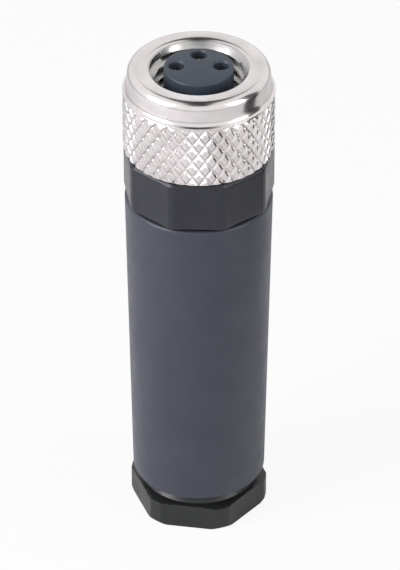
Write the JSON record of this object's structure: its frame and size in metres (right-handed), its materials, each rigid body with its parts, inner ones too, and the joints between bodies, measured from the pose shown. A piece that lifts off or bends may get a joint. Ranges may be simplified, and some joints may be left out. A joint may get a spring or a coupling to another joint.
{
  "type": "female circular connector",
  "caption": "Straight field wired female circular connector with a knurled M8 coupling nut, black sleeve, faceted collar and hexagon cable gland.",
  "frame": {"origin": "on the connector's axis, at the flat cable end of the gland nut", "axes": "+Z along the axis towards the mating face, -Y towards the viewer, contact 4 towards +Y"},
  "size_m": [0.012, 0.012, 0.0417],
  "materials": {
    "nickel": "nickel plate, satin, diamond knurled grip",
    "spring_steel": "bright spring steel",
    "seal_rubber": "soft black rubber",
    "insert_plastic": "moulded black plastic, fine satin",
    "collar_plastic": "moulded black plastic, satin",
    "sleeve_plastic": "moulded black plastic, semi gloss",
    "gland_plastic": "moulded black plastic, satin",
    "clamp_plastic": "moulded dark grey plastic",
    "washer_plastic": "natural plastic",
    "contact_gold": "gold plate over brass",
    "guard_brass": "bright brass",
    "screw_steel": "zinc plated steel"
  },
  "bodies": {
    "sleeve_unit": {"sleeve": "sleeve_plastic", "cable_seal": "seal_rubber"},
    "collar_seal": {"collar_o_ring": "seal_rubber"},
    "front_unit": {"collar": "collar_plastic", "contact_insert": "insert_plastic", "terminal_block": "insert_plastic", "insert_clip": "spring_steel", "face_seal": "seal_rubber", "contact_1": "contact_gold", "contact_3": "contact_gold", "contact_4": "contact_gold"},
    "nut_carrier": {"nut_snap_ring": "spring_steel"},
    "nut": {"coupling_nut": "nickel"},
    "clamp_unit": {"clamp_ring": "clamp_plastic", "thrust_washer": "washer_plastic"},
    "gland": {"gland_nut": "gland_plastic"},
    "guard_1": {"wire_guard_1": "guard_brass"},
    "screw_1": {"terminal_screw_1": "screw_steel"},
    "guard_3": {"wire_guard_3": "guard_brass"},
    "screw_3": {"terminal_screw_3": "screw_steel"},
    "guard_4": {"wire_guard_4": "guard_brass"},
    "screw_4": {"terminal_screw_4": "screw_steel"}
  },
  "joints": [
    {"name": "collar_lift", "type": "slide", "parent": "sleeve_unit", "child": "collar_seal", "axis": [0, 0, 1], "range_m": [0, 0.00525]},
    {"name": "collar_turn", "type": "hinge", "parent": "collar_seal", "child": "front_unit", "pos_m": [0, 0, 0.03], "axis": [0, 0, 1], "range_deg": [0, 2520]},
    {"name": "nut_play", "type": "slide", "parent": "front_unit", "child": "nut_carrier", "axis": [0, 0, 1], "range_m": [0, 0.0005]},
    {"name": "nut_spin", "type": "hinge", "parent": "nut_carrier", "child": "nut", "pos_m": [0, 0, 0.03805], "axis": [0, 0, 1], "continuous": true},
    {"name": "clamp_lift", "type": "slide", "parent": "sleeve_unit", "child": "clamp_unit", "axis": [0, 0, 1], "range_m": [-0.00525, 0]},
    {"name": "gland_turn", "type": "hinge", "parent": "clamp_unit", "child": "gland", "pos_m": [0, 0, 0.0032], "axis": [0, 0, 1], "range_deg": [-2520, 0]},
    {"name": "guard_1_press", "type": "slide", "parent": "front_unit", "child": "guard_1", "axis": [-0.9945, 0.1045, 0], "range_m": [-0.00038, 0.00063]},
    {"name": "screw_1_turn", "type": "hinge", "parent": "guard_1", "child": "screw_1", "pos_m": [-0.00174, 0.00018, 0.02316], "axis": [-0.9945, 0.1045, 0], "range_deg": [-540, 900]},
    {"name": "guard_3_press", "type": "slide", "parent": "front_unit", "child": "guard_3", "axis": [0.9945, 0.1045, 0], "range_m": [-0.00038, 0.00063]},
    {"name": "screw_3_turn", "type": "hinge", "parent": "guard_3", "child": "screw_3", "pos_m": [0.00174, 0.00018, 0.02316], "axis": [0.9945, 0.1045, 0], "range_deg": [-540, 900]},
    {"name": "guard_4_press", "type": "slide", "parent": "front_unit", "child": "guard_4", "axis": [0, 1, 0], "range_m": [-0.00038, 0.00063]},
    {"name": "screw_4_turn", "type": "hinge", "parent": "guard_4", "child": "screw_4", "pos_m": [0, 0.00175, 0.02316], "axis": [0, 1, 0], "range_deg": [-540, 900]}
  ],
  "couplings": [
    {"joint": "collar_turn", "follows": "collar_lift", "rad_per_m": 8377.6},
    {"joint": "gland_turn", "follows": "clamp_lift", "rad_per_m": 8377.6},
    {"joint": "screw_1_turn", "follows": "guard_1_press", "rad_per_m": 25133},
    {"joint": "screw_3_turn", "follows": "guard_3_press", "rad_per_m": 25133},
    {"joint": "screw_4_turn", "follows": "guard_4_press", "rad_per_m": 25133}
  ]
}
